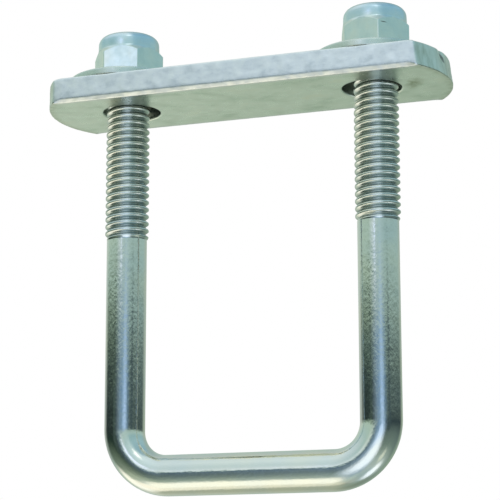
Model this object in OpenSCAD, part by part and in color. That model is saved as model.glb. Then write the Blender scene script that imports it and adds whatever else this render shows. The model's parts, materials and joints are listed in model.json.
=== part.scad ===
// Square U-bolt clamp: a round bar bent into a U with two threaded studs, a
// backing plate across the studs, and a flat washer and a nylon-insert lock
// nut on each stud. The beam that it clamps lies along Y, between the
// crossbar and the plate.
// Millimetres. +Z runs up the studs. The origin is the middle of the
// crossbar's inner face, where the clamped beam seats.

/* [Bar] */
// Diameter of the plain bar, which is the thread's pitch diameter
bar_d = 9.9; // [9:0.1:10.2]
// Clear width between the two legs
inside_w = 54; // [40:0.5:90]
// Radius on the inside of the two bends
bend_r = 6.35; // [4:0.05:12]
// Height of the stud ends above the crossbar's inner face
leg_h = 106.4; // [106:0.1:160]

/* [Thread] */
// Major diameter of the thread
thread_d = 11.11; // [10.8:0.01:11.3]
// Pitch of the thread, 14 to the inch
thread_pitch = 1.8143; // [1.6:0.0001:2]
// Length of thread on each stud
thread_l = 53.5; // [40:0.1:70]

/* [Plate] */
// Mean distance from a stud's axis to the tip of the plate's rounded end
plate_overhang = 19; // [17:0.05:30]
// How far the plate's two sheared ends sit towards -X of the middle of its holes
plate_shift = 0.6; // [0:0.1:1]
// Width of the backing plate
plate_w = 28.6; // [28.6:0.1:40]
// Thickness of the backing plate
plate_t = 6.35; // [4:0.05:8]
// Radius of the plate's two ends
plate_end_r = 22.5; // [20:0.1:45]
// Diameter of the two stud holes in the plate
hole_d = 14.3; // [14:0.1:16]
// How far each stud hole's centre lies inward of the stud's axis
hole_inset = 1; // [0:0.1:1.3]
// Clear height between the crossbar and the plate
clamp_h = 86.3; // [70:0.1:86.5]

/* [Washers] */
// Outer diameter of a washer
washer_d = 28.6; // [24:0.1:32]
// Diameter of a washer's hole
washer_hole_d = 13.5; // [13:0.1:15]
// Thickness of a washer
washer_t = 1.65; // [1.2:0.05:2.6]
// How far each loose washer sits towards -X of its stud
washer_shift = 0.7; // [0:0.1:0.8]

/* [Lock nuts] */
// Width of the hexagon across its flats
nut_af = 15.5; // [15.5:0.05:17]
// Height of the hexagon
nut_hex_h = 7.6; // [6.5:0.1:9]
// Height of the whole nut with its collar
nut_h = 11.5; // [10.5:0.1:13]
// Diameter of the round collar that holds the insert
collar_d = 15.4; // [15:0.1:15.5]
// Angle of the left hexagon's first corner
left_nut_turn = 6.5; // [0:0.5:60]
// Angle of the right hexagon's first corner
right_nut_turn = 49; // [0:0.5:60]

/* [Hidden] */
$fn = 96;

bar_r = bar_d / 2;
bar_z = -bar_r;
bend_mid_r = bend_r + bar_r;
leg_x = inside_w / 2 + bar_r;
leg_foot_z = bend_r;
crossbar_l = 2 * (leg_x - bend_mid_r);

thread_r = thread_d / 2;
groove_deep = 0.6134 * thread_pitch;
root_r = thread_r - groove_deep;
crest_w = thread_pitch / 8;
root_w = thread_pitch / 4;
groove_n = floor(thread_l / thread_pitch) - 1;
thread_z = leg_h - thread_l;
// Height of the step from the plain bar up to the rolled thread
runout_h = 0.4;
end_chamfer = 0.9;

plate_l = 2 * (leg_x + plate_overhang);
plate_mid = plate_l / 2 - plate_end_r;
hole_x = leg_x - hole_inset;
washer_z = clamp_h + plate_t;
nut_z = washer_z + washer_t;

// Radial clearance of the nut's plain bore over the thread's crests
bore_clear = 0.05;
nut_bore_r = thread_r + bore_clear;
nut_corner_r = nut_af / 2 / cos(30);
// How far the nut's round end faces stop short of its flats
face_inset = 0.1;
nut_face_r = nut_af / 2 - face_inset;
countersink = 0.45;
collar_r = collar_d / 2;
collar_wall = 0.8;
// Depth to which the collar is sunk in the hexagon, so that the two join
collar_root = 1;
// The rolled-in top of the collar: its height and inward reach, and the
// inward reach and depth of the knee between its two slopes
dome_h = 1.2;
knee_in = 0.36;
knee_down = 0.42;
// Space left round the insert in its pocket
insert_gap = 0.02;
insert_r = collar_r - collar_wall;
insert_h = 2.4;
insert_seat = 0.3;
insert_z = nut_hex_h + insert_seat;
// Clearance of the opening at the top of the collar over the thread's crests
mouth_clear = 0.5;
mouth_r = thread_r + mouth_clear;
// Margin by which a cutting shape passes the faces that it cuts
cut = 1;

module revolve(outline) {
    rotate_extrude()
        polygon(outline);
}

// Outline of one stud from the foot of the leg to its tip: the plain bar, the
// step up to the rolled thread, one ring groove for each turn, and the tip.
module stud() {
    grooves = [
        for (i = [0 : groove_n - 1])
            let (z = thread_z + crest_w + i * thread_pitch)
            let (flank_h = (thread_pitch - crest_w - root_w) / 2)
            each [
                [thread_r, z],
                [root_r, z + flank_h],
                [root_r, z + flank_h + root_w],
                [thread_r, z + 2 * flank_h + root_w]
            ]
    ];
    revolve(concat(
        [[0, leg_foot_z], [bar_r, leg_foot_z], [bar_r, thread_z - runout_h], [thread_r, thread_z]],
        grooves,
        [[thread_r, leg_h - end_chamfer], [root_r, leg_h], [0, leg_h]]
    ));
}

module bend() {
    translate([leg_x - bend_mid_r, 0, leg_foot_z])
        rotate([-90, 0, 0])
            rotate_extrude(angle = 90)
                translate([bend_mid_r, 0])
                    circle(r = bar_r);
}

module u_bolt() {
    color("silver")
        union() {
            for (side = [0, 1])
                mirror([side, 0, 0]) {
                    translate([leg_x, 0, 0])
                        stud();
                    bend();
                }
            translate([-crossbar_l / 2, 0, bar_z])
                rotate([0, 90, 0])
                    cylinder(h = crossbar_l, r = bar_r);
        }
}

// One end of the plate: the stretch of the bar beyond the middle of its end arc
module plate_end() {
    intersection() {
        translate([plate_mid, -plate_w / 2, 0])
            cube([plate_end_r + cut, plate_w, plate_t]);
        translate([plate_mid, 0, -cut])
            cylinder(h = plate_t + 2 * cut, r = plate_end_r);
    }
}

module backing_plate() {
    color("lightgray")
        translate([0, 0, clamp_h])
            difference() {
                translate([-plate_shift, 0, 0])
                    union() {
                        translate([-plate_mid, -plate_w / 2, 0])
                            cube([2 * plate_mid, plate_w, plate_t]);
                        plate_end();
                        mirror([1, 0, 0])
                            plate_end();
                    }
                for (side = [-1, 1])
                    translate([side * hole_x, 0, -cut])
                        cylinder(h = plate_t + 2 * cut, d = hole_d);
            }
}

module washer(side) {
    color("gainsboro")
        translate([side * leg_x - washer_shift, 0, washer_z])
            revolve([
                [washer_hole_d / 2, 0],
                [washer_d / 2, 0],
                [washer_d / 2, washer_t],
                [washer_hole_d / 2, washer_t]
            ]);
}

module washer_left() {
    washer(-1);
}

module washer_right() {
    washer(1);
}

// The hexagon, with the corners turned off at both ends
module hexagon() {
    rise = (nut_corner_r - nut_face_r) * tan(30);
    intersection() {
        cylinder(h = nut_hex_h, r = nut_corner_r, $fn = 6);
        revolve([
            [0, 0],
            [nut_face_r, 0],
            [nut_corner_r, rise],
            [nut_corner_r, nut_hex_h - rise],
            [nut_face_r, nut_hex_h],
            [0, nut_hex_h]
        ]);
    }
}

// The bored nut, with a round collar rolled in over the insert. The bore is
// plain and just clears the thread's crests.
module lock_nut(side, turn) {
    color("silver")
        translate([side * leg_x, 0, nut_z])
            difference() {
                union() {
                    rotate([0, 0, turn])
                        hexagon();
                    revolve([
                        [0, nut_hex_h - collar_root],
                        [collar_r, nut_hex_h - collar_root],
                        [collar_r, nut_h - dome_h],
                        [collar_r - knee_in, nut_h - knee_down],
                        [collar_r - dome_h, nut_h],
                        [0, nut_h]
                    ]);
                }
                revolve([
                    [0, -cut],
                    [nut_bore_r + countersink + cut, -cut],
                    [nut_bore_r, countersink],
                    [nut_bore_r, insert_z],
                    [insert_r, insert_z],
                    [insert_r, insert_z + insert_h],
                    [mouth_r, insert_z + insert_h],
                    [mouth_r, nut_h + cut],
                    [0, nut_h + cut]
                ]);
            }
}

module lock_nut_left() {
    lock_nut(-1, left_nut_turn);
}

module lock_nut_right() {
    lock_nut(1, right_nut_turn);
}

// The nylon ring that grips the thread, inside the nut's collar
module insert(side) {
    color("ivory")
        translate([side * leg_x, 0, nut_z + insert_z])
            revolve([
                [nut_bore_r, insert_gap],
                [insert_r - insert_gap, insert_gap],
                [insert_r - insert_gap, insert_h - insert_gap],
                [nut_bore_r, insert_h - insert_gap]
            ]);
}

module insert_left() {
    insert(-1);
}

module insert_right() {
    insert(1);
}

u_bolt();
backing_plate();
washer_left();
washer_right();
lock_nut_left();
lock_nut_right();
insert_left();
insert_right();
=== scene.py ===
"""Studio scene of a square U-bolt clamp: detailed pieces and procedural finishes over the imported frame."""
import json
import math

import bpy
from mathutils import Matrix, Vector, geometry, noise


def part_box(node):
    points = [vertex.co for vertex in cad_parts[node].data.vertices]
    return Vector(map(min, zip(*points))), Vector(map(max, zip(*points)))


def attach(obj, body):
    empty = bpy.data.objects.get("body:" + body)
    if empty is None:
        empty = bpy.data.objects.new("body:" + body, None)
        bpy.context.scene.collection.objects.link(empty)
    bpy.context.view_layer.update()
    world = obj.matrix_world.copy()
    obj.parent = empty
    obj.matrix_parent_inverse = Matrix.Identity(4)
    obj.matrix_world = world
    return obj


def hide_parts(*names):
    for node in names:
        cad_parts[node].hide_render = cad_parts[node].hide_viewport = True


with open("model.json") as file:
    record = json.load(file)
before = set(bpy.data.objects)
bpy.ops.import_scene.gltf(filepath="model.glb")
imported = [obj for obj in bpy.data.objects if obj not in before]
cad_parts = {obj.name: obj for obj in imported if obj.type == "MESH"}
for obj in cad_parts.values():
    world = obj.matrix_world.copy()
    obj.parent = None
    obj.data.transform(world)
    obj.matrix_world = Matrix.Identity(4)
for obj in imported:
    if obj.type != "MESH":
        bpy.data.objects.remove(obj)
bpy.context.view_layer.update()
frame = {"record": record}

MM = 0.001
TAU = 2 * math.pi

# The studs, read from the frame
BAR_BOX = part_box("u_bolt")
BAR_R = -BAR_BOX[0].z / 2
THREAD_R = BAR_BOX[1].y
LEG_X = BAR_BOX[1].x - THREAD_R
TIP_Z = BAR_BOX[1].z
COUPLINGS = frame["record"]["behaviour"]["couplings"]
PITCH = TAU / COUPLINGS[0]["ratio"]

# The bar
BEND_IN_R = 6.35 * MM
BEND_MID_R = BEND_IN_R + BAR_R
BEND_X = LEG_X - BEND_MID_R
BEND_OVALITY = 0.025
BAR_POINTS = 96
BEND_RINGS = 22
SHANK_STEP = 2.0 * MM
TIP_CHAMFER = 1.15 * MM
TIP_DISH = 0.18 * MM
# Radii of the rings on a stud's end, as shares of its edge's
TIP_RINGS = (0.04, 0.3, 0.6, 0.8, 0.92, 0.985)

# The thread on the studs
THREAD_LENGTH = 53.5 * MM
THREAD_START_Z = TIP_Z - THREAD_LENGTH
THREAD_CREST_R = 5.40 * MM
THREAD_DEPTH = 0.76 * MM
CREST_SHARE = 0.16
ROOT_SHARE = 0.10
FLANK_ROUNDING = 0.7
# How far above the CAD thread's start the helix starts, and over how much it comes to full height
RUNOUT_DELAY = 0.25 * PITCH
RUNOUT_LENGTH = 0.7 * PITCH
RINGS_PER_PITCH = 14
# Height of a thread crest on the +X side of each stud
CREST_Z = {-1: 79.52 * MM, 1: 81.06 * MM}

# The plate
PLATE_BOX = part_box("backing_plate")
PLATE_END_R = 22.5 * MM
PLATE_CORNER_R = 1.2 * MM
CORNER_R_LEAST = 0.05 * MM
# The worn lower edge of the rolled sides: (inset, height) from the flat face to the side
ROLLED_LOW_EDGE = [
    (0.66 * MM, 0.0), (0.61 * MM, 0.02 * MM), (0.55 * MM, 0.09 * MM), (0.43 * MM, 0.26 * MM),
    (0.29 * MM, 0.48 * MM), (0.15 * MM, 0.70 * MM), (0.04 * MM, 0.90 * MM), (0.0, 1.15 * MM)]
# Inward reach and rise of the other rounded edges
ROLLED_HIGH_EDGE = (0.45 * MM, 0.50 * MM)
SHEARED_LOW_EDGE = (0.15 * MM, 0.35 * MM)
SHEARED_HIGH_EDGE = (1.60 * MM, 0.75 * MM)
PLATE_FACE_INSET = 2.1 * MM
# Distance from a tip at which the rolled side starts to give way to the sheared end, and over how much
PLATE_BLEND_END = 7.5 * MM
PLATE_BLEND = 3.0 * MM
PLATE_ROUGH = 0.07 * MM
# The part of a sheared end, counted up from below, over which its torn face turns smooth
FRACTURE_RANGE = (0.48, 0.66)
# How much shorter the left and right ends are at the top than at the bottom
PLATE_DRAFT = (0.15 * MM, 0.9 * MM)
PLATE_NICK_AT = Vector((49.6 * MM, -5.5 * MM))
PLATE_NICK_R = 0.8 * MM
PLATE_NICK_DEPTH = 0.35 * MM
# The part of the thickness, counted up from below, over which the nick comes to its depth
PLATE_NICK_RANGE = (0.65, 0.90)
PLATE_GRID = 3.0 * MM
GRID_MARGIN = 0.4 * PLATE_GRID
SIDE_POINTS = 170
CORNER_POINTS = 8
END_POINTS = 60
EDGE_STEPS = 7
WALL_ROWS = 8

# The two stud holes
HOLE_R = 7.15 * MM
HOLE_INSET = 1.0 * MM
HOLE_X = (HOLE_INSET - LEG_X, LEG_X - HOLE_INSET)
HOLE_FACE_INSET = 0.9 * MM
HOLE_EDGE_R = 0.35 * MM
HOLE_EDGE_STEPS = 4
HOLE_WALL_ROWS = 8
HOLE_ROUGH = 0.05 * MM
HOLE_POINTS = 128

# The washers
WASHER_HOLE_R = 6.75 * MM
WASHER_ROLL = 0.32 * MM
WASHER_BURR = 0.14 * MM
WASHER_FACE_INSET = 1.5 * MM
WASHER_ROUGH = 0.03 * MM
WASHER_EDGE_STEPS = 3
WASHER_POINTS = 160

# The lock nuts
NUT_AF = 15.5 * MM
NUT_CORNER_R = 0.45 * MM
NUT_HEX_H = 7.6 * MM
NUT_FACE_R = 7.69 * MM
NUT_TURN = {-1: math.radians(6.5), 1: math.radians(49)}
NUT_CORNER_POINTS = 7
NUT_FLAT_POINTS = 15
# Slopes of the turned-off corners, and the most that their edges are softened
BOTTOM_CHAMFER = math.tan(math.radians(30))
TOP_CHAMFER = math.tan(math.radians(48))
CHAMFER_SOFT = 0.09 * MM
# The foot and wall of the collar: distance out from its wall, and height above the hexagon
COLLAR_R = 7.68 * MM
COLLAR_FOOT = [(0.09 * MM, 0.04 * MM), (0.02 * MM, 0.14 * MM), (0.0, 0.4 * MM), (-0.03 * MM, 1.4 * MM)]
# The rolled-in top of the collar: how far in from its wall and down from the nut's top
COLLAR_DOME = [
    (0.06 * MM, 1.65 * MM), (0.16 * MM, 1.20 * MM), (0.36 * MM, 0.80 * MM), (0.62 * MM, 0.46 * MM),
    (0.92 * MM, 0.20 * MM), (1.20 * MM, 0.05 * MM), (1.42 * MM, 0.0), (1.56 * MM, 0.05 * MM),
    (1.62 * MM, 0.17 * MM)]
# The thread inside, from its plain bore to its countersunk mouth
NUT_BORE_R = THREAD_R + 0.05 * MM
NUT_THREAD_DEPTH = 0.82 * THREAD_DEPTH
NUT_RINGS_PER_PITCH = 10
NUT_THREAD_LOW = 0.45 * MM
NUT_MOUTH = [(THREAD_R + 0.15 * MM, 0.3 * MM), (THREAD_R + 0.5 * MM, 0.0)]
INSERT_GAP = 0.02 * MM
INSERT_SOFT = 0.15 * MM

SIDES = {-1: "left", 1: "right"}


# ---------------------------------------------------------------- meshes

def smooth(value):
    """0 to 1 with a soft start and end."""
    t = min(max(value, 0.0), 1.0)
    return t * t * (3 - 2 * t)


def rough(point, size, seed):
    """Noise from about -1 to 1 at a point in metres, with features of the given size."""
    return noise.noise(Vector(point) / size + Vector((seed, 3.7 * seed, 1.9 * seed)))


def around(centre_x, base_z, radius, angle, z):
    """A point at a radius, an angle and a height about an upright axis in the plane y = 0."""
    return (centre_x + radius * math.cos(angle), radius * math.sin(angle), base_z + z)


def add_piece(name, verts, faces, body, cad_node, material, uvs=None, marks=None):
    """A smooth-shaded mesh that rides on a body and stands for its CAD node.

    marks holds a number for each vertex under each name, for the material to read.
    """
    mesh = bpy.data.meshes.new(name)
    mesh.from_pydata(verts, [], faces)
    mesh.polygons.foreach_set("use_smooth", [True] * len(mesh.polygons))
    if uvs:
        layer = mesh.uv_layers.new(name="along_and_around")
        for loop in mesh.loops:
            layer.data[loop.index].uv = uvs[loop.vertex_index]
    for title, values in (marks or {}).items():
        mesh.attributes.new(title, "FLOAT", "POINT").data.foreach_set("value", values)
    mesh.materials.append(material)
    mesh.update()
    piece = bpy.data.objects.new(name, mesh)
    bpy.context.scene.collection.objects.link(piece)
    weighted = piece.modifiers.new("flat faces stay flat", "WEIGHTED_NORMAL")
    weighted.mode = "FACE_AREA_WITH_ANGLE"
    weighted.weight = 60
    weighted.keep_sharp = False
    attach(piece, body)
    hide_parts(cad_node)


def strip_faces(rows, points, closed_rows, first=0):
    """Quads between rows of the same number of points, each row a closed loop."""
    faces = []
    for i in range(rows if closed_rows else rows - 1):
        a = first + i * points
        b = first + (i + 1) % rows * points
        for j in range(points):
            k = (j + 1) % points
            faces.append((a + j, a + k, b + k, b + j))
    return faces


def corner_arc(steps):
    """Sine and cosine pairs along a quarter circle, both ends included."""
    return [(math.sin(i / steps * TAU / 4), math.cos(i / steps * TAU / 4)) for i in range(steps + 1)]


# ---------------------------------------------------------------- the U-bolt

def thread_radius(z, angle, crest_z, crest_r, depth):
    """Radius of a right-hand thread at a height and an angle about the stud."""
    turn = (z - crest_z) / PITCH - angle / TAU
    away = abs(turn - round(turn))
    flank = (away - CREST_SHARE / 2) / (0.5 - ROOT_SHARE / 2 - CREST_SHARE / 2)
    fall = min(max(flank, 0.0), 1.0)
    return crest_r - depth * (fall + (smooth(fall) - fall) * FLANK_ROUNDING)


def stud_shape(z, angle, crest_z):
    """Radius of the stud, and its thread mark: 0 on the bar, 0.5 on a crest, 1 down in a groove."""
    grow = smooth((z - THREAD_START_Z - RUNOUT_DELAY) / RUNOUT_LENGTH)
    threaded = thread_radius(z, angle, crest_z, THREAD_CREST_R, THREAD_DEPTH)
    radius = BAR_R + (threaded - BAR_R) * grow
    thread_mark = grow * (1 + (THREAD_CREST_R - threaded) / THREAD_DEPTH) / 2
    return min(radius, THREAD_R - TIP_CHAMFER + (TIP_Z - z)), thread_mark


def stud_heights():
    """Heights of the rings on one stud, from the tip down to the foot of the leg."""
    step = PITCH / RINGS_PER_PITCH
    bottom = THREAD_START_Z - PITCH
    heights = [TIP_Z - i * step for i in range(int((TIP_Z - bottom) / step) + 1)]
    shank = heights[-1] - BEND_IN_R
    count = round(shank / SHANK_STEP)
    return heights + [heights[-1] - shank * i / count for i in range(1, count + 1)]


def bar_stations():
    """Every ring's centre, outward direction and kind, from the left tip to the right tip."""
    heights = stud_heights()
    stations = [(Vector((-LEG_X, 0, z)), Vector((-1, 0, 0)), "stud", 0.0) for z in heights]
    for i in range(1, BEND_RINGS):
        turn = i / BEND_RINGS * TAU / 4
        out = Vector((-math.cos(turn), 0, -math.sin(turn)))
        centre = Vector((-BEND_X, 0, BEND_IN_R)) + out * BEND_MID_R
        stations.append((centre, out, "bend", math.sin(2 * turn)))
    count = round(2 * BEND_X / SHANK_STEP)
    for i in range(count + 1):
        centre = Vector((-BEND_X + 2 * BEND_X * i / count, 0, -BAR_R))
        stations.append((centre, Vector((0, 0, -1)), "bar", 0.0))
    left = stations[:len(heights) + BEND_RINGS - 1]
    for centre, out, kind, bend in reversed(left):
        stations.append((Vector((-centre.x, 0, centre.z)), Vector((-out.x, 0, out.z)), kind, bend))
    return stations


def bar_ring(centre, out, kind, bend):
    """Points round the bar at one station, and the thread mark of each."""
    side = 1 if centre.x > 0 else -1
    squash = BEND_OVALITY * bend
    ring, thread_marks = [], []
    for j in range(BAR_POINTS):
        turn = j / BAR_POINTS * TAU
        radius, thread_mark = BAR_R, 0.0
        if kind == "stud":
            angle = turn if side > 0 else TAU / 2 - turn
            radius, thread_mark = stud_shape(centre.z, angle, CREST_Z[side])
        x, y = math.cos(turn) * radius * (1 - squash), math.sin(turn) * radius * (1 + squash)
        ring.append(centre + out * x + Vector((0, y, 0)))
        thread_marks.append(thread_mark)
    return ring, thread_marks


def tip_rings(ring, centre):
    """Rings from near the middle of a dished stud end out to its edge."""
    made = []
    for share in TIP_RINGS:
        dish = TIP_DISH * (1 - share * share)
        made.append([centre + (p - centre) * share - Vector((0, 0, dish)) for p in ring])
    return made


def along_and_around(centres):
    """UVs of rings about the given centres, in metres, alike on both sides of the seam."""
    uvs, along = [], 0.0
    for i, centre in enumerate(centres):
        along += (centre - centres[i - 1]).length if i else 0.0
        uvs += [(along, abs(j / BAR_POINTS - 0.5) * TAU * BAR_R) for j in range(BAR_POINTS)]
    return uvs


def make_bar(material):
    """The bent bar with its two threaded studs, one skin from tip to tip."""
    stations = bar_stations()
    made = [bar_ring(*station) for station in stations]
    rings, thread_marks = [ring for ring, _ in made], [marks for _, marks in made]
    centres = [station[0] for station in stations]
    first_tip = tip_rings(rings[0], centres[0])
    last_tip = tip_rings(rings[-1], centres[-1])[::-1]
    plain = [[0.0] * BAR_POINTS] * len(TIP_RINGS)
    rings = first_tip + rings + last_tip
    thread_marks = plain + thread_marks + plain
    centres = [centres[0]] * len(TIP_RINGS) + centres + [centres[-1]] * len(TIP_RINGS)
    verts = [p for ring in rings for p in ring]
    faces = strip_faces(len(rings), BAR_POINTS, False)
    faces.append(tuple(reversed(range(BAR_POINTS))))
    faces.append(tuple(range(len(verts) - BAR_POINTS, len(verts))))
    marks = {"thread": [value for ring in thread_marks for value in ring]}
    add_piece("threaded_square_bar", verts, faces, "u_bolt", "u_bolt", material,
              along_and_around(centres), marks)


# ---------------------------------------------------------------- the backing plate

def plate_outline(inset):
    """Points round the plate at a distance in from its edge, counter-clockwise from above."""
    low, high = PLATE_BOX
    half_l, half_w = (high.x - low.x) / 2, (high.y - low.y) / 2
    arc_x = half_l - PLATE_END_R
    middle = Vector(((low.x + high.x) / 2, 0.0))
    corner_r = max(PLATE_CORNER_R - inset, CORNER_R_LEAST)
    end_r, corner_y = PLATE_END_R - inset, half_w - inset - corner_r
    corner_x = arc_x + math.sqrt((end_r - corner_r) ** 2 - corner_y ** 2)
    meet = math.atan2(corner_y, corner_x - arc_x)
    points = [(-corner_x + 2 * corner_x * i / SIDE_POINTS, -half_w + inset) for i in range(SIDE_POINTS)]
    for i in range(CORNER_POINTS):
        angle = -TAU / 4 + (TAU / 4 - meet) * i / CORNER_POINTS
        points.append((corner_x + corner_r * math.cos(angle), -corner_y + corner_r * math.sin(angle)))
    for i in range(END_POINTS):
        angle = -meet + 2 * meet * i / END_POINTS
        points.append((arc_x + end_r * math.cos(angle), end_r * math.sin(angle)))
    for i in range(CORNER_POINTS):
        angle = meet + (TAU / 4 - meet) * i / CORNER_POINTS
        points.append((corner_x + corner_r * math.cos(angle), corner_y + corner_r * math.sin(angle)))
    points += [(-x, -y) for x, y in points]
    return [Vector(p) + middle for p in points]


def quarter(reach, rise, steps):
    """(inset, height) pairs up a rounded edge, from the flat face to the side."""
    return [(reach * (1 - s), rise * (1 - c)) for s, c in corner_arc(steps)]


def plate_rows(thick, low, high):
    """(inset, height) of each row from the bottom face to the top face, given the two rounded edges."""
    start, end = low[-1][1], thick - high[-1][1]
    wall = [(0.0, start + (end - start) * i / WALL_ROWS) for i in range(1, WALL_ROWS)]
    over = [(inset, thick - z) for inset, z in reversed(high)]
    return [(PLATE_FACE_INSET, 0.0)] + low + wall + over + [(PLATE_FACE_INSET, thick)]


def sheared_relief(x, y, height):
    """How far a sheared end is torn in at a share of its height: rough below, with upright streaks."""
    torn_from, smooth_from = FRACTURE_RANGE
    fracture = smooth((smooth_from - height) / (smooth_from - torn_from))
    streaks = rough((x, y, 0.0), 0.8 * MM, 11.0) * 0.5 + rough((x, y, 0.0), 2.4 * MM, 12.0)
    grit = rough((x, y, height * 6 * MM), 0.7 * MM, 13.0)
    return PLATE_ROUGH * ((0.5 + 0.5 * streaks) + fracture * (0.8 + 0.9 * grit))


def rolled_relief(x, y, z):
    """How far the rolled side is in at a point: shallow, soft dents, with a more ragged lower edge."""
    dents = 0.5 + 0.35 * rough((x, y, z), 2.6 * MM, 1.0) + 0.25 * rough((x, y, z), 1.1 * MM, 2.0)
    ragged = smooth((1.3 * MM - z) / MM) * (0.6 + rough((x, y, z), 1.4 * MM, 3.0))
    return PLATE_ROUGH * (dents + 1.2 * ragged)


def nick_depth(at, height):
    """Depth of the nick in the right end at a point of the outline and a share of the thickness."""
    start, full = PLATE_NICK_RANGE
    away = (at - PLATE_NICK_AT).length / PLATE_NICK_R
    return PLATE_NICK_DEPTH * math.exp(-(away ** 2)) * smooth((height - start) / (full - start))


def plate_side(verts, low, thick):
    """Adds the outer wall with its worn edges. Gives its number of rows."""
    side_rows = plate_rows(thick, ROLLED_LOW_EDGE, quarter(*ROLLED_HIGH_EDGE, EDGE_STEPS))
    end_rows = plate_rows(
        thick, quarter(*SHEARED_LOW_EDGE, EDGE_STEPS), quarter(*SHEARED_HIGH_EDGE, EDGE_STEPS))
    edge = plate_outline(0.0)
    inner = plate_outline(1.0 * MM)
    left, right = min(p.x for p in edge), max(p.x for p in edge)
    sheared = [smooth((PLATE_BLEND_END - min(right - p.x, p.x - left)) / PLATE_BLEND) for p in edge]
    for row, ((side_in, side_z), (end_in, end_z)) in enumerate(zip(side_rows, end_rows)):
        side_loop, end_loop = plate_outline(side_in), plate_outline(end_in)
        for p, q, share, at, within in zip(side_loop, end_loop, sheared, edge, inner):
            place = p.lerp(q, share)
            z = side_z + (end_z - side_z) * share
            height = z / thick
            if 0 < row < len(side_rows) - 1:
                torn = rolled_relief(at.x, at.y, z) * (1 - share)
                torn += sheared_relief(at.x, at.y, height) * share
                place += (within - at).normalized() * (torn + nick_depth(at, height))
            draft = (PLATE_DRAFT[0] if at.x < 0 else -PLATE_DRAFT[1]) * share * height
            verts.append((place.x + draft, place.y, low.z + z))
    return len(side_rows)


def sheared_marks():
    """1 for each outline point on a sheared end and 0 on a rolled side, changing over at the corners."""
    corner = [i / CORNER_POINTS for i in range(CORNER_POINTS)]
    return ([0.0] * SIDE_POINTS + corner + [1.0] * END_POINTS + corner[::-1]) * 2


def hole_rows(thick):
    """(inset, height) of each row of a punched hole, from the top face down."""
    edge = quarter(HOLE_EDGE_R, HOLE_EDGE_R, HOLE_EDGE_STEPS)
    straight = thick - 2 * HOLE_EDGE_R
    wall = [HOLE_EDGE_R + straight * i / HOLE_WALL_ROWS for i in range(1, HOLE_WALL_ROWS)]
    rows = [(HOLE_FACE_INSET, 0.0)] + edge + [(0.0, z) for z in wall]
    rows += [(reach, thick - rise) for reach, rise in reversed(edge)] + [(HOLE_FACE_INSET, thick)]
    return rows[::-1]


def hole_side(verts, centre_x, low, thick):
    """Adds the wall of one punched hole. Gives its number of rows."""
    rows = hole_rows(thick)
    for row, (inset, z) in enumerate(rows):
        for j in range(HOLE_POINTS):
            angle = j / HOLE_POINTS * TAU
            torn = 0.0
            if 0 < row < len(rows) - 1:
                place = (math.cos(angle) * HOLE_R, math.sin(angle) * HOLE_R, z)
                torn = HOLE_ROUGH * (1 + rough(place, 1.3 * MM, 4.0 + centre_x)) / 2
            verts.append(around(centre_x, low.z, HOLE_R + inset + torn, angle, z))
    return len(rows)


def grid_points(loop):
    """Points of a grid over one flat face, clear of its outer loop and of the holes."""
    left, right = min(p.x for p in loop), max(p.x for p in loop)
    half_w = max(p.y for p in loop)
    arc_x = (right - left) / 2 - PLATE_END_R
    end_reach = PLATE_END_R - PLATE_FACE_INSET - GRID_MARGIN
    keep_out = HOLE_R + HOLE_FACE_INSET + GRID_MARGIN
    columns, rows = int((right - left) / 2 / PLATE_GRID), int(half_w / PLATE_GRID)
    points = []
    for i in range(-columns, columns + 1):
        for j in range(-rows, rows + 1):
            p = Vector((i * PLATE_GRID, j * PLATE_GRID))
            beyond = Vector((max(abs(p.x) - arc_x, 0.0), p.y)).length
            p.x += (left + right) / 2
            inside = beyond < end_reach or abs(p.x) < arc_x
            clear = all((p - Vector((x, 0.0))).length > keep_out for x in HOLE_X)
            if inside and clear and abs(p.y) < half_w - GRID_MARGIN:
                points.append(p)
    return points


def fill_face(verts, outer, holes, z, up):
    """Triangles over one flat face of the plate, between its outer loop and the hole loops."""
    index = list(outer)
    edges = [(i, (i + 1) % len(outer)) for i in range(len(outer))]
    for loop in holes:
        first = len(index)
        edges += [(first + i, first + (i + 1) % len(loop)) for i in range(len(loop))]
        index += loop
    flat = [Vector(verts[i][:2]) for i in index]
    for p in grid_points(flat[:len(outer)]):
        index.append(len(verts))
        verts.append((p.x, p.y, z))
        flat.append(p)
    made = geometry.delaunay_2d_cdt(flat, edges, [], 1, 1e-9)
    points, triangles, origins = made[0], made[2], made[3]
    hole_reach = HOLE_R + HOLE_FACE_INSET - 0.01 * MM
    faces = []
    for triangle in triangles:
        middle = sum((points[i] for i in triangle), Vector((0, 0))) / 3
        if any((middle - Vector((x, 0.0))).length < hole_reach for x in HOLE_X):
            continue
        face = [index[origins[i][0]] for i in triangle]
        a, b, c = (Vector(verts[i][:2]) for i in face)
        counter_clockwise = (b - a).cross(c - a) > 0
        faces.append(tuple(face if counter_clockwise == up else reversed(face)))
    return faces


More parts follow.
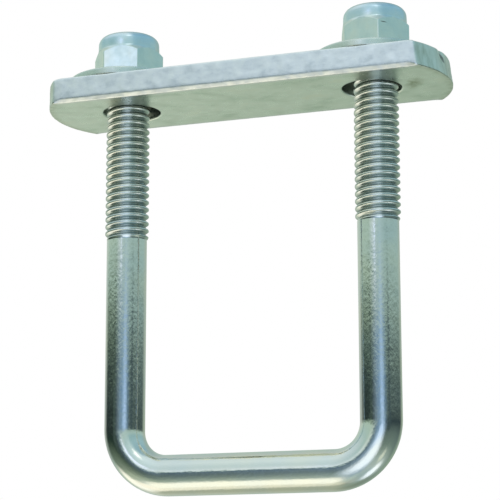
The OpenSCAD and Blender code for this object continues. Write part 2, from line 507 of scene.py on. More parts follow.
def make_plate(material):
    """The backing plate: its outer wall, its two hole walls, and flat faces filled in between them."""
    low, high = PLATE_BOX
    verts = []
    row_count = plate_side(verts, low, high.z - low.z)
    points = len(verts) // row_count
    faces = strip_faces(row_count, points, False)
    bottom = [list(range(points))]
    top = [list(range((row_count - 1) * points, row_count * points))]
    wall = [0.0] * points + [1.0] * points * (row_count - 2) + [0.0] * points
    ends = sheared_marks() * row_count
    for centre_x in HOLE_X:
        first = len(verts)
        rows = hole_side(verts, centre_x, low, high.z - low.z)
        faces += strip_faces(rows, HOLE_POINTS, False, first)
        top.append(list(range(first, first + HOLE_POINTS)))
        bottom.append(list(range(first + (rows - 1) * HOLE_POINTS, first + rows * HOLE_POINTS)))
    faces += fill_face(verts, bottom[0], bottom[1:], low.z, False)
    faces += fill_face(verts, top[0], top[1:], high.z, True)
    rest = [0.0] * (len(verts) - len(wall))
    marks = {"wall": wall + rest, "sheared": ends + rest}
    add_piece("sheared_plate", verts, faces, "plate", "backing_plate", material, marks=marks)


# ---------------------------------------------------------------- the washers

def washer_profile(out_r, thick):
    """Radius and height round a washer's section: rolled over above, with a small burr below."""
    arc = corner_arc(WASHER_EDGE_STEPS)
    roll = [(WASHER_ROLL * (1 - s), thick - WASHER_ROLL * (1 - c)) for s, c in arc]
    burr = [(WASHER_BURR * (1 - s), WASHER_BURR * (1 - c)) for s, c in arc]
    wall_z = (thick * 0.4, thick * 0.6)
    face_in, face_out = WASHER_HOLE_R + WASHER_FACE_INSET, out_r - WASHER_FACE_INSET
    profile = [(face_in, 0.0), (face_out, 0.0)]
    profile += [(out_r - reach, z) for reach, z in burr]
    profile += [(out_r, z) for z in wall_z]
    profile += [(out_r - reach, z) for reach, z in reversed(roll)]
    profile += [(face_out, thick), (face_in, thick)]
    profile += [(WASHER_HOLE_R + reach, z) for reach, z in roll]
    profile += [(WASHER_HOLE_R, z) for z in reversed(wall_z)]
    profile += [(WASHER_HOLE_R + reach, z) for reach, z in reversed(burr)]
    return profile


def make_washer(side, material):
    """One washer: its section turned about its axis, with a slightly uneven rim."""
    cad_node = "washer_" + SIDES[side]
    low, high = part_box(cad_node)
    centre_x = (low.x + high.x) / 2
    out_r, thick = (high.x - low.x) / 2, high.z - low.z
    rim_r = out_r - 0.02 * MM
    verts = []
    for radius, z in washer_profile(out_r, thick):
        for j in range(WASHER_POINTS):
            angle = j / WASHER_POINTS * TAU
            torn = 0.0
            if radius > rim_r:
                place = (math.cos(angle) * radius, math.sin(angle) * radius, z)
                torn = WASHER_ROUGH * (1 + rough(place, 1.1 * MM, 7.0 + side)) / 2
            verts.append(around(centre_x, low.z, radius - torn, angle, z))
    faces = strip_faces(len(verts) // WASHER_POINTS, WASHER_POINTS, True)
    add_piece("stamped_washer_" + SIDES[side], verts, faces, SIDES[side] + "_washer", cad_node,
              material)


# ---------------------------------------------------------------- the lock nuts

def hexagon_points(turn):
    """(angle, radius) round a hexagon with slightly rounded corners."""
    apothem = NUT_AF / 2
    reach = (apothem - NUT_CORNER_R) / math.cos(TAU / 12)
    ring = []
    for i in range(6):
        corner = turn + i * TAU / 6
        centre = Vector((math.cos(corner), math.sin(corner))) * reach
        arc = []
        for j in range(NUT_CORNER_POINTS):
            lean = corner + (j / (NUT_CORNER_POINTS - 1) - 0.5) * TAU / 6
            arc.append(centre + Vector((math.cos(lean), math.sin(lean))) * NUT_CORNER_R)
        ring += arc
        after = corner + TAU / 6
        next_centre = Vector((math.cos(after), math.sin(after))) * reach
        lean = corner + TAU / 12
        end = next_centre + Vector((math.cos(lean), math.sin(lean))) * NUT_CORNER_R
        ring += [arc[-1].lerp(end, j / NUT_FLAT_POINTS) for j in range(1, NUT_FLAT_POINTS)]
    return [(math.atan2(p.y, p.x), p.length) for p in ring]


def nut_outside(hex_r, height):
    """Radius and height up the outside of a nut where its hexagon has radius hex_r."""
    reach = hex_r - NUT_FACE_R
    soft = min(CHAMFER_SOFT, 0.4 * reach)
    low = reach * BOTTOM_CHAMFER
    high = NUT_HEX_H - reach * TOP_CHAMFER
    rows = [(NUT_FACE_R - 0.6 * MM, 0.0), (NUT_FACE_R - 0.05 * MM, 0.0)]
    rows += [(NUT_FACE_R + 0.3 * reach, low * 0.3), (hex_r - soft, low - soft * BOTTOM_CHAMFER)]
    rows += [(hex_r - 0.15 * soft, low), (hex_r, low + soft)]
    rows += [(hex_r, low + (high - low) * 0.35), (hex_r, low + (high - low) * 0.7)]
    rows += [(hex_r, high - soft), (hex_r - 0.15 * soft, high), (hex_r - soft, high + soft * TOP_CHAMFER)]
    rows += [(NUT_FACE_R + 0.3 * reach, NUT_HEX_H - 0.3 * reach * TOP_CHAMFER)]
    rows += [(COLLAR_R + out, NUT_HEX_H + up) for out, up in COLLAR_FOOT]
    rows += [(COLLAR_R - reach_in, height - down) for reach_in, down in COLLAR_DOME]
    return rows


def nut_pocket(insert_box, base_z):
    """Radius and height from the collar's mouth round the insert to the top of the thread."""
    insert_low, insert_high = insert_box[0].z - base_z, insert_box[1].z - base_z
    pocket_r = (insert_box[1].x - insert_box[0].x) / 2 + INSERT_GAP
    mouth = COLLAR_R - COLLAR_DOME[-1][0]
    floor_z, roof_z = insert_low - INSERT_GAP, insert_high + INSERT_GAP
    return [
        (mouth, insert_high + 0.3 * MM), (mouth + 0.05 * MM, roof_z), (pocket_r, roof_z),
        (pocket_r, floor_z), (THREAD_R + 0.5 * MM, floor_z), (THREAD_R + 0.1 * MM, insert_low - 0.3 * MM)]


def nut_thread(angle, side, base_z, top):
    """Radius and height down the thread of a nut at one angle, fading in and out at its ends."""
    count = round((top - NUT_THREAD_LOW) / PITCH * NUT_RINGS_PER_PITCH)
    rows = []
    for i in range(1, count + 1):
        z = top - (top - NUT_THREAD_LOW) * i / count
        grow = smooth((top - z) / PITCH) * smooth((z - NUT_THREAD_LOW + 0.2 * PITCH) / PITCH)
        threaded = thread_radius(z + base_z, angle, CREST_Z[side], NUT_BORE_R, NUT_THREAD_DEPTH)
        rows.append((NUT_BORE_R + (threaded - NUT_BORE_R) * grow, z))
    return rows


def make_nut(side, material):
    """One lock nut: a closed section at each angle, from its foot up the outside and down the bore."""
    cad_node = "lock_nut_" + SIDES[side]
    low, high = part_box(cad_node)
    centre_x, height = (low.x + high.x) / 2, high.z - low.z
    pocket = nut_pocket(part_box("insert_" + SIDES[side]), low.z)
    ring = hexagon_points(NUT_TURN[side])
    columns = []
    for angle, hex_r in ring:
        thread = nut_thread(angle, side, low.z, pocket[-1][1])
        columns.append(nut_outside(hex_r, height) + pocket + thread + NUT_MOUTH)
    verts = []
    for row in zip(*columns):
        verts += [around(centre_x, low.z, radius, angle, z) for (angle, _), (radius, z) in zip(ring, row)]
    faces = strip_faces(len(columns[0]), len(ring), True)
    add_piece("insert_lock_nut_" + SIDES[side], verts, faces, SIDES[side] + "_nut", cad_node,
              material)


def make_insert(side, material):
    """The nylon ring of one nut."""
    cad_node = "insert_" + SIDES[side]
    low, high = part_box(cad_node)
    centre_x, out_r, height = (low.x + high.x) / 2, (high.x - low.x) / 2, high.z - low.z
    in_r, soft = NUT_BORE_R, INSERT_SOFT
    profile = [(in_r + soft, 0.0), (out_r - soft, 0.0), (out_r, soft), (out_r, height - soft)]
    profile += [(out_r - soft, height), (in_r + 2 * soft, height), (in_r + 0.6 * soft, height - 0.4 * soft)]
    profile += [(in_r, height - 1.5 * soft), (in_r, height * 0.5), (in_r, 1.5 * soft)]
    profile += [(in_r + 0.3 * soft, 0.3 * soft)]
    turns = [j / BAR_POINTS * TAU for j in range(BAR_POINTS)]
    verts = [around(centre_x, low.z, radius, angle, z) for radius, z in profile for angle in turns]
    faces = strip_faces(len(profile), BAR_POINTS, True)
    add_piece("nylon_ring_" + SIDES[side], verts, faces, SIDES[side] + "_nut", cad_node, material)


# ---------------------------------------------------------------- materials

# Colours of each finish over a cloud of noise, some with painted light in them as noted: (place from 0 to 1,
# colour)
BAR_COLOURS = [(0.30, (0.75, 0.80, 0.83)), (0.48, (0.82, 0.84, 0.82)), (0.70, (0.86, 0.86, 0.79))]
FACE_COLOURS = [
    (0.30, (0.68, 0.76, 0.68)), (0.44, (0.86, 0.91, 0.84)), (0.56, (0.92, 0.96, 0.90)),
    (0.70, (0.95, 0.96, 0.87))]
# Painted sheen: the rolled sides lightened to a lavender white, over real patches
SIDE_COLOURS_WITH_PAINTED_SHEEN = [(0.30, (0.82, 0.83, 0.88)), (0.46, (0.94, 0.94, 0.98)), (0.68, (0.99, 0.99, 1.0))]
# Painted shade: the sheared ends darkened, under their real streaks
END_COLOURS_WITH_PAINTED_SHADE = [(0.30, (0.60, 0.64, 0.55)), (0.50, (0.78, 0.81, 0.73)), (0.72, (0.87, 0.89, 0.82))]
WASHER_COLOURS = [(0.30, (0.70, 0.77, 0.74)), (0.50, (0.80, 0.84, 0.80)), (0.72, (0.85, 0.86, 0.80))]
NUT_COLOURS = [(0.30, (0.68, 0.79, 0.79)), (0.50, (0.78, 0.86, 0.84)), (0.72, (0.84, 0.88, 0.82))]
# Painted reflection: the collar tinted bluer
COLLAR_PAINTED_REFLECTION_COLOURS = [(0.30, (0.60, 0.76, 0.86)), (0.50, (0.70, 0.83, 0.93)), (0.72, (0.80, 0.87, 0.90))]
NYLON_COLOURS = [(0.30, (0.74, 0.75, 0.70)), (0.70, (0.82, 0.83, 0.79))]
# Painted shade: the dark colour mixed into the zinc down in the thread's grooves
GROOVE_PAINTED_SHADE = (0.26, 0.32, 0.31, 1)

# Spots: centre, turns in degrees and radii. A smudge beside the right hole:
PLATE_STAIN = ((41.6 * MM, -1.0 * MM, PLATE_BOX[0].z), (0, 0, 20), (2.6 * MM, 6.0 * MM, 1.0 * MM))
PLATE_STAIN_TINT = (0.30, 0.32, 0.18, 1)
# Painted shade: a dark tint in the nick in the right end
PLATE_NICK_SHADE = ((49.2 * MM, -5.1 * MM, 90.4 * MM), (-36, 0, 0), (2.0 * MM, 1.9 * MM, 0.85 * MM))
PLATE_NICK_SHADE_TINT = (0.10, 0.09, 0.09, 1)
# A small pit on the left nut and a short scratch on the right one
NUT_MARKS = [
    ((-28.35 * MM, -7.58 * MM, 95.6 * MM), (0, 0, 6.5), (0.36 * MM, 0.36 * MM, 0.36 * MM)),
    ((35.8 * MM, -7.3 * MM, 100.2 * MM), (0, 0, 49), (1.1 * MM, 0.5 * MM, 0.16 * MM))]
NUT_MARK_TINT = (0.16, 0.15, 0.14, 1)
# Heights between which the nut's colour turns into the collar's bluer tint of painted reflection
COLLAR_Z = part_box("lock_nut_left")[0].z + NUT_HEX_H
COLLAR_RANGE = (COLLAR_Z - 0.6 * MM, COLLAR_Z + 1.2 * MM)


def node(tree, kind, inputs=None, **settings):
    """A shader node with its settings and inputs, where an input is a value or another node's output."""
    made = tree.nodes.new(kind)
    for key, value in settings.items():
        setattr(made, key, value)
    for key, value in (inputs or {}).items():
        if isinstance(value, bpy.types.NodeSocket):
            tree.links.new(value, made.inputs[key])
        else:
            made.inputs[key].default_value = value
    return made


def calc(tree, operation, *values):
    return node(tree, "ShaderNodeMath", dict(enumerate(values)), operation=operation).outputs[0]


def ramp(tree, factor, stops):
    """A colour ramp through (position, colour) stops."""
    made = node(tree, "ShaderNodeValToRGB", {"Fac": factor})
    band = made.color_ramp
    while len(band.elements) < len(stops):
        band.elements.new(0.5)
    for element, (position, colour) in zip(band.elements, stops):
        element.position = position
        element.color = (*colour, 1.0)
    return made.outputs["Color"]


def noise_at(tree, where, per_metre, detail=3.0, stretch=(1, 1, 1), offset=(0, 0, 0), roughness=0.5):
    """Noise from 0 to 1 with features of 1 / per_metre."""
    mapped = node(tree, "ShaderNodeMapping", {"Vector": where, "Scale": stretch, "Location": offset})
    made = node(tree, "ShaderNodeTexNoise", {
        "Vector": mapped.outputs["Vector"], "Scale": per_metre, "Detail": detail, "Roughness": roughness})
    return made.outputs["Fac"]


def spread(tree, value, low, high, from_low=0.3, from_high=0.7, smooth_step=False):
    """A value's range from_low to from_high, spread over low to high and held at both ends."""
    made = node(tree, "ShaderNodeMapRange", {
        "Value": value, "From Min": from_low, "From Max": from_high, "To Min": low, "To Max": high},
        interpolation_type="SMOOTHSTEP" if smooth_step else "LINEAR")
    return made.outputs["Result"]


def blend(tree, factor, first, second):
    """Two colours mixed by a factor; each is a colour or another node's output."""
    return node(tree, "ShaderNodeMix", {0: factor, 6: first, 7: second}, data_type="RGBA").outputs[2]


def bumps(tree, layers):
    """One normal from several (height, depth in metres) layers."""
    normal = None
    for height, depth in layers:
        inputs = {"Height": height, "Distance": depth}
        if normal:
            inputs["Normal"] = normal
        normal = node(tree, "ShaderNodeBump", inputs).outputs["Normal"]
    return normal


def new_material(name):
    material = bpy.data.materials.new(name)
    material.use_nodes = True
    tree = material.node_tree
    tree.nodes.clear()
    shader = node(tree, "ShaderNodeBsdfPrincipled")
    node(tree, "ShaderNodeOutputMaterial", {"Surface": shader.outputs["BSDF"]})
    return material, tree, shader


def connect(tree, shader, **sockets):
    for name, value in sockets.items():
        socket = shader.inputs[name.replace("_", " ")]
        if isinstance(value, bpy.types.NodeSocket):
            tree.links.new(value, socket)
        else:
            socket.default_value = value


def mark(tree, name):
    """A number painted on the mesh's vertices."""
    return node(tree, "ShaderNodeAttribute", attribute_name=name).outputs["Fac"]


def spot(tree, where, centre, turn, radii, soft=0.5):
    """1 in the middle of an ellipsoid, falling to 0 at its surface over the given share of its radius."""
    local = node(tree, "ShaderNodeMapping", {
        "Vector": where, "Location": centre, "Rotation": [math.radians(a) for a in turn], "Scale": radii},
        vector_type="TEXTURE")
    away = node(tree, "ShaderNodeVectorMath", {0: local.outputs["Vector"]}, operation="LENGTH")
    return spread(tree, away.outputs["Value"], 1.0, 0.0, 1.0 - soft, 1.0, smooth_step=True)


def zinc_bar_material():
    """Bright, finely pebbled zinc, duller where the thread was rolled, with painted shade darkening it down
    in its grooves.
    """
    material, tree, shader = new_material("zinc_on_drawn_bar")
    where = node(tree, "ShaderNodeTexCoord").outputs["Object"]
    flow = node(tree, "ShaderNodeUVMap", uv_map="along_and_around").outputs["UV"]
    zinc = ramp(tree, noise_at(tree, where, 90, 4), BAR_COLOURS)
    thread = mark(tree, "thread")
    deep = spread(tree, thread, 0.0, 1.0, 0.65, 1.0)
    # Painted shade: darkens the zinc down in the thread's grooves
    groove_shade = calc(tree, "MULTIPLY", deep, spread(tree, noise_at(tree, where, 420), 0.55, 1.0))
    colour = blend(tree, groove_shade, zinc, GROOVE_PAINTED_SHADE)
    speckle = spread(tree, noise_at(tree, where, 1500), 0.0, 0.06)
    polish = spread(tree, noise_at(tree, where, 260), 0.045, 0.095)
    rolled = spread(tree, thread, 0.0, 0.14, 0.0, 0.5)
    roughness = calc(tree, "ADD", calc(tree, "ADD", polish, speckle), rolled)
    grain = noise_at(tree, flow, 3200, stretch=(0.035, 1, 1))
    ripple = noise_at(tree, flow, 620, stretch=(0.5, 1, 1))
    pebble = noise_at(tree, flow, 1900, stretch=(0.5, 1, 1))
    normal = bumps(tree, [(ripple, 0.022 * MM), (grain, 0.005 * MM), (pebble, 0.019 * MM)])
    connect(tree, shader, Base_Color=colour, Roughness=roughness, Normal=normal, Metallic=1.0)
    return material


def plate_face_colour(tree, where):
    """The plate's flat faces: clouded zinc, with a smudge beside the right hole."""
    cloud = noise_at(tree, where, 150, 5, stretch=(0.6, 1, 1), roughness=0.6)
    broken = spread(tree, noise_at(tree, where, 700), 0.3, 1.0)
    stain = calc(tree, "MULTIPLY", spot(tree, where, *PLATE_STAIN, soft=0.8), broken)
    stain = calc(tree, "MULTIPLY", stain, 0.8)
    return blend(tree, stain, ramp(tree, cloud, FACE_COLOURS), PLATE_STAIN_TINT)


def plate_end_colour(tree, where):
    """The plate's sheared ends: upright streaks on a tone darkened as painted shade, with painted shade in
    the nick on the right one.
    """
    streaks = noise_at(tree, where, 650, 4, stretch=(1, 1, 0.35))
    broken = spread(tree, noise_at(tree, where, 1500), 0.5, 1.0)
    # Painted shade in the nick in the right end
    nick_shade = calc(tree, "MULTIPLY", spot(tree, where, *PLATE_NICK_SHADE), broken)
    return blend(tree, nick_shade, ramp(tree, streaks, END_COLOURS_WITH_PAINTED_SHADE), PLATE_NICK_SHADE_TINT)


def zinc_plate_material():
    """Satin zinc with its own colour on the flat faces, the rolled sides and the sheared ends: the sides
    lightened to a lavender white as painted sheen, the ends darkened as painted shade.
    """
    material, tree, shader = new_material("zinc_on_rolled_plate")
    where = node(tree, "ShaderNodeTexCoord").outputs["Object"]
    wall_mark = mark(tree, "wall")
    patches = noise_at(tree, where, 480, 5, stretch=(0.7, 1, 1), roughness=0.65)
    # The rolled sides carry painted sheen and the sheared ends painted shade in their colours
    side = ramp(tree, patches, SIDE_COLOURS_WITH_PAINTED_SHEEN)
    walls = blend(tree, mark(tree, "sheared"), side, plate_end_colour(tree, where))
    colour = blend(tree, wall_mark, plate_face_colour(tree, where), walls)
    face_rough = spread(tree, noise_at(tree, where, 300), 0.24, 0.36)
    wall_rough = spread(tree, patches, 0.42, 0.28)
    roughness = blend(tree, wall_mark, face_rough, wall_rough)
    grain = noise_at(tree, where, 1900, stretch=(0.05, 1, 1))
    pits = noise_at(tree, where, 1300, 4)
    dents = noise_at(tree, where, 420)
    normal = bumps(tree, [(dents, 0.030 * MM), (grain, 0.005 * MM), (pits, 0.012 * MM)])
    connect(tree, shader, Base_Color=colour, Roughness=roughness, Normal=normal, Metallic=1.0)
    return material


def zinc_washer_material():
    """Satin zinc with shallow dents and pits."""
    material, tree, shader = new_material("zinc_on_stamped_washer")
    where = node(tree, "ShaderNodeTexCoord").outputs["Object"]
    colour = ramp(tree, noise_at(tree, where, 220, 4, offset=(0.3, 0.1, 0)), WASHER_COLOURS)
    roughness = spread(tree, noise_at(tree, where, 500), 0.22, 0.34)
    dents = noise_at(tree, where, 500, 2)
    pits = noise_at(tree, where, 1500, 4)
    normal = bumps(tree, [(dents, 0.015 * MM), (pits, 0.008 * MM)])
    connect(tree, shader, Base_Color=colour, Roughness=roughness, Normal=normal, Metallic=1.0)
    return material


def zinc_nut_material():
    """Semi-gloss zinc, tinted bluer on the collar as painted reflection, with a pit on one nut and a scratch
    on the other.
    """
    material, tree, shader = new_material("zinc_on_forged_nut")
    where = node(tree, "ShaderNodeTexCoord").outputs["Object"]
    cloud = noise_at(tree, where, 240, 4, offset=(0.7, 0.2, 0))
    height = node(tree, "ShaderNodeSeparateXYZ", {"Vector": where}).outputs["Z"]
    on_collar = spread(tree, height, 0.0, 1.0, *COLLAR_RANGE)
    # The collar's bluer colour is painted reflection
    colour = blend(tree, on_collar, ramp(tree, cloud, NUT_COLOURS), ramp(tree, cloud, COLLAR_PAINTED_REFLECTION_COLOURS))
    for place in NUT_MARKS:
        colour = blend(tree, calc(tree, "MULTIPLY", spot(tree, where, *place), 0.85), colour, NUT_MARK_TINT)
    roughness = spread(tree, noise_at(tree, where, 420), 0.16, 0.26)
    dents = noise_at(tree, where, 330, 2)
    pits = noise_at(tree, where, 1100)
    normal = bumps(tree, [(dents, 0.025 * MM), (pits, 0.005 * MM)])
    connect(tree, shader, Base_Color=colour, Roughness=roughness, Normal=normal, Metallic=1.0)
    return material


def nylon_material():
    """Dull natural nylon."""
    material, tree, shader = new_material("natural_nylon")
    where = node(tree, "ShaderNodeTexCoord").outputs["Object"]
    colour = ramp(tree, noise_at(tree, where, 400), NYLON_COLOURS)
    roughness = spread(tree, noise_at(tree, where, 900), 0.38, 0.52)
    normal = bumps(tree, [(noise_at(tree, where, 2400), 0.008 * MM)])
    connect(tree, shader, Base_Color=colour, Roughness=roughness, Normal=normal, Metallic=0.0)
    return material


# ---------------------------------------------------------------- studio

CAMERA_AT = Vector((0.12856, -0.39623, -0.04462))
CAMERA_TURN = (101.037, -0.155, 19.421)
CAMERA_SENSOR = 36
CAMERA_LENS = 127.14
CAMERA_SHIFT = (0.09, 0.10)
CAMERA_CLIP = (0.01, 20)
FLOOR_Z = -0.10
FLOOR_R = 4.0
FLOOR_POINTS = 96
FLOOR_COLOUR = (0.88, 0.88, 0.87, 1)
LAMP_AT = (0.1, 0.2, 1.6)
LAMP_SIZE = 1.6
LAMP_POWER = 22

# Level direction from the object to the camera; azimuths below are measured from it, to the right
TOWARDS_CAMERA = Vector((0.309, -0.951))

# What each side of the studio shows to the metal: elevation in degrees, red, green and blue
WALLS = {
    "left": [
        (-88, 0.66, 0.68, 0.52), (-68, 0.84, 0.84, 0.64), (-56, 0.98, 0.98, 0.80), (-48, 0.68, 0.74, 0.62),
        (-38, 0.45, 0.53, 0.41), (-32, 0.40, 0.48, 0.36), (-23, 0.22, 0.28, 0.21), (-12, 0.12, 0.17, 0.12),
        (0, 0.02, 0.04, 0.03), (7.5, 0.02, 0.03, 0.03), (9.2, 0.05, 0.08, 0.07), (11.2, 0.19, 0.27, 0.20),
        (12, 0.45, 0.59, 0.49), (24, 0.42, 0.58, 0.56), (37, 0.58, 0.70, 0.70), (56, 0.72, 0.84, 0.84),
        (88, 0.66, 0.78, 0.78)],
    "front": [
        (-88, 0.50, 0.56, 0.46), (-68, 0.50, 0.62, 0.55), (-55, 0.34, 0.45, 0.50), (-38, 0.40, 0.52, 0.60),
        (-23, 0.38, 0.48, 0.54), (-8, 0.36, 0.50, 0.62), (1, 0.42, 0.60, 0.82), (4, 0.26, 0.40, 0.54),
        (7.5, 0.18, 0.32, 0.50), (9.5, 0.20, 0.32, 0.43), (11.2, 0.38, 0.50, 0.51), (13, 0.45, 0.60, 0.56),
        (22, 0.45, 0.63, 0.64), (37, 0.62, 0.80, 0.82), (60, 0.72, 0.88, 0.91), (88, 0.70, 0.82, 0.82)],
    "front left": [
        (-88, 0.50, 0.55, 0.45), (-64, 0.76, 0.79, 0.67), (-56, 0.70, 0.74, 0.64), (-48, 0.54, 0.62, 0.54),
        (-38, 0.34, 0.42, 0.38), (-23, 0.20, 0.27, 0.25), (-8, 0.13, 0.18, 0.19), (2, 0.14, 0.20, 0.22),
        (8, 0.13, 0.19, 0.24), (9.5, 0.16, 0.25, 0.29), (11.2, 0.36, 0.48, 0.47), (13, 0.64, 0.75, 0.76),
        (16, 0.92, 1.00, 1.06), (22, 0.74, 0.84, 0.86), (34, 0.62, 0.76, 0.77), (60, 0.74, 0.88, 0.88),
        (88, 0.70, 0.82, 0.82)],
    "right": [
        (-88, 0.45, 0.50, 0.42), (-68, 0.38, 0.50, 0.48), (-53, 0.46, 0.56, 0.52), (-38, 0.36, 0.46, 0.42),
        (-23, 0.17, 0.24, 0.21), (-8, 0.11, 0.16, 0.15), (3, 0.03, 0.05, 0.06), (7.5, 0.06, 0.09, 0.09),
        (9.5, 0.13, 0.19, 0.17), (11.5, 0.36, 0.50, 0.45), (16, 0.40, 0.56, 0.54), (24, 0.30, 0.49, 0.53),
        (37, 0.34, 0.54, 0.60), (60, 0.28, 0.47, 0.56), (88, 0.50, 0.62, 0.62)],
    "back left": [
        (-88, 0.40, 0.44, 0.34), (-68, 0.42, 0.46, 0.34), (-56, 0.44, 0.48, 0.36), (-40, 0.60, 0.64, 0.50),
        (-28, 0.70, 0.73, 0.63), (-16, 0.54, 0.66, 0.53), (-8, 0.38, 0.46, 0.40), (7, 0.45, 0.50, 0.45),
        (11, 0.56, 0.64, 0.57), (22, 0.52, 0.65, 0.56), (60, 0.52, 0.60, 0.56), (88, 0.60, 0.66, 0.62)],
    "back right": [
        (-88, 0.35, 0.40, 0.32), (-68, 0.28, 0.36, 0.29), (-53, 0.23, 0.29, 0.22), (-38, 0.24, 0.31, 0.25),
        (-16, 0.29, 0.39, 0.30), (-8, 0.27, 0.36, 0.28), (7, 0.38, 0.46, 0.38), (12, 0.42, 0.50, 0.43),
        (22, 0.36, 0.47, 0.43), (60, 0.35, 0.48, 0.48), (88, 0.50, 0.58, 0.56)],
}

# The walls to the right of the left one, and the azimuths in degrees over which each takes over
WALL_TURNS = [("front left", -62, -26), ("front", -42, -6), ("right", 4, 34)]
# Azimuths from straight behind over which the back right wall takes over from the back left one, and
# azimuths from the camera, to either side, over which the back takes over from the front
BACK_TURN = (-24, 24)
BACK_FROM = (112, 146)

# Soft round lights, and two dark gaps: azimuth, elevation, radius of the core and radius of the edge in
# degrees, and colour
GLOWS = [
    (-27, 19, 4, 8, (0.96, 1.09, 1.27, 1)),
    (2, 46, 3, 12, (1.30, 1.38, 1.36, 1)),
    (1, -5, 6, 20, (0.58, 0.80, 1.14, 1)),
    (41, 3, 5, 11, (0.05, 0.08, 0.09, 1)),
    (-60, 3, 6, 10, (0.05, 0.08, 0.07, 1)),
    (-1, -25, 9, 32, (1.03, 1.15, 1.22, 1)),
    (-128, -39, 9, 25, (1.22, 1.20, 1.02, 1)),
    (-106, -56, 6, 22, (1.20, 1.14, 0.92, 1)),
    (-57, -57, 8, 22, (1.20, 1.19, 0.98, 1)),
    (64, -38, 3, 13, (0.68, 0.76, 0.64, 1)),
    (97, -56, 6, 20, (1.14, 1.22, 1.24, 1)),
]


def make_camera():
    data = bpy.data.cameras.new("camera")
    data.sensor_width = CAMERA_SENSOR
    data.lens = CAMERA_LENS
    data.shift_x, data.shift_y = CAMERA_SHIFT
    data.clip_start, data.clip_end = CAMERA_CLIP
    camera = bpy.data.objects.new("camera", data)
    camera.location = CAMERA_AT
    camera.rotation_euler = [math.radians(a) for a in CAMERA_TURN]
    bpy.context.scene.collection.objects.link(camera)
    bpy.context.scene.camera = camera


def make_floor():
    """A wide round floor, pale and plain."""
    turns = [i / FLOOR_POINTS * TAU for i in range(FLOOR_POINTS)]
    verts = [(0.0, 0.0, FLOOR_Z)] + [around(0.0, FLOOR_Z, FLOOR_R, angle, 0.0) for angle in turns]
    faces = [(0, 1 + i, 1 + (i + 1) % FLOOR_POINTS) for i in range(FLOOR_POINTS)]
    mesh = bpy.data.meshes.new("floor")
    mesh.from_pydata(verts, [], faces)
    floor = bpy.data.objects.new("floor", mesh)
    bpy.context.scene.collection.objects.link(floor)
    material, tree, shader = new_material("pale_floor")
    connect(tree, shader, Base_Color=FLOOR_COLOUR, Roughness=0.9)
    mesh.materials.append(material)
    floor.visible_glossy = False


def bearing(tree, towards):
    """Azimuths of a direction in radians: from the camera's side and from straight behind, to the right."""
    parts = node(tree, "ShaderNodeSeparateXYZ", {"Vector": towards})
    x, y = parts.outputs["X"], parts.outputs["Y"]
    ahead = calc(tree, "MULTIPLY_ADD", x, TOWARDS_CAMERA.x, calc(tree, "MULTIPLY", y, TOWARDS_CAMERA.y))
    across = calc(tree, "MULTIPLY_ADD", x, -TOWARDS_CAMERA.y, calc(tree, "MULTIPLY", y, TOWARDS_CAMERA.x))
    behind = calc(tree, "ARCTAN2", across, calc(tree, "MULTIPLY", ahead, -1.0))
    return calc(tree, "ARCTAN2", across, ahead), behind


def wall_colour(tree, towards, stops):
    """The colours of one wall of the studio, given by elevation in degrees."""
    height = calc(tree, "ARCSINE", node(tree, "ShaderNodeSeparateXYZ", {"Vector": towards}).outputs["Z"])
    level = calc(tree, "MULTIPLY_ADD", height, 1 / math.pi, 0.5)
    return ramp(tree, level, [(elevation / 180 + 0.5, colour) for elevation, *colour in stops])


def turn_share(tree, angle, start, end):
    """0 to 1 as an angle in radians goes from start to end, both in degrees."""
    return spread(tree, angle, 0.0, 1.0, math.radians(start), math.radians(end), smooth_step=True)


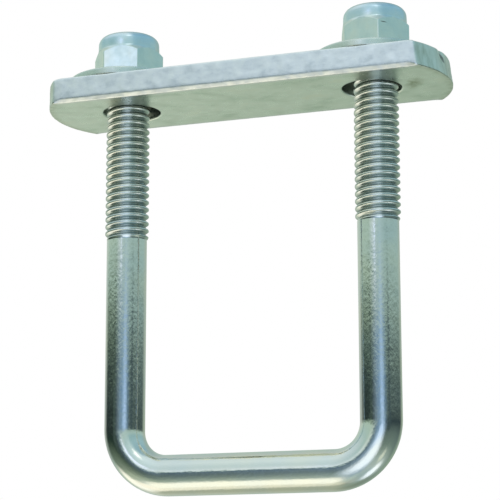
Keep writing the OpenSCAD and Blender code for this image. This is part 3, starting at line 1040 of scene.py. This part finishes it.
def glow_share(tree, towards, azimuth, elevation, inner, outer):
    """1 within inner degrees of a direction, fading to 0 at outer degrees."""
    a, e = math.radians(azimuth), math.radians(elevation)
    right = Vector((-TOWARDS_CAMERA.y, TOWARDS_CAMERA.x))
    flat = (TOWARDS_CAMERA * math.cos(a) + right * math.sin(a)) * math.cos(e)
    nearness = node(tree, "ShaderNodeVectorMath", {0: towards, 1: (flat.x, flat.y, math.sin(e))},
                    operation="DOT_PRODUCT").outputs["Value"]
    away = calc(tree, "ARCCOSINE", nearness)
    return turn_share(tree, away, outer, inner)


def make_world():
    """Soft light from every side, as the polished metal reflects it; plain white to the camera."""
    world = bpy.data.worlds.new("studio")
    bpy.context.scene.world = world
    world.use_nodes = True
    tree = world.node_tree
    tree.nodes.clear()
    towards = node(tree, "ShaderNodeTexCoord").outputs["Generated"]
    azimuth, behind = bearing(tree, towards)
    walls = {name: wall_colour(tree, towards, stops) for name, stops in WALLS.items()}
    front = walls["left"]
    for name, start, end in WALL_TURNS:
        front = blend(tree, turn_share(tree, azimuth, start, end), front, walls[name])
    back = blend(tree, turn_share(tree, behind, *BACK_TURN), walls["back left"], walls["back right"])
    swing = calc(tree, "ABSOLUTE", azimuth)
    colour = blend(tree, turn_share(tree, swing, *BACK_FROM), front, back)
    for azimuth_at, elevation, inner, outer, tint in GLOWS:
        share = glow_share(tree, towards, azimuth_at, elevation, inner, outer)
        colour = blend(tree, share, colour, tint)
    soft = node(tree, "ShaderNodeBackground", {"Color": colour})
    white = node(tree, "ShaderNodeBackground", {"Color": (1, 1, 1, 1)})
    seen = node(tree, "ShaderNodeLightPath").outputs["Is Camera Ray"]
    mix = node(tree, "ShaderNodeMixShader", {"Fac": seen, 1: soft.outputs[0], 2: white.outputs[0]})
    node(tree, "ShaderNodeOutputWorld", {"Surface": mix.outputs[0]})


def make_lights():
    data = bpy.data.lights.new("overhead", "AREA")
    data.shape = "DISK"
    data.size = LAMP_SIZE
    data.energy = LAMP_POWER
    lamp = bpy.data.objects.new("overhead", data)
    lamp.location = LAMP_AT
    lamp.visible_glossy = False
    bpy.context.scene.collection.objects.link(lamp)


make_camera()
make_floor()
make_world()
make_lights()
bar_zinc = zinc_bar_material()
washer_zinc = zinc_washer_material()
nut_zinc = zinc_nut_material()
nylon = nylon_material()
make_bar(bar_zinc)
make_plate(zinc_plate_material())
for side in SIDES:
    make_washer(side, washer_zinc)
    make_nut(side, nut_zinc)
    make_insert(side, nylon)

bpy.context.scene.view_settings.view_transform = "Standard"
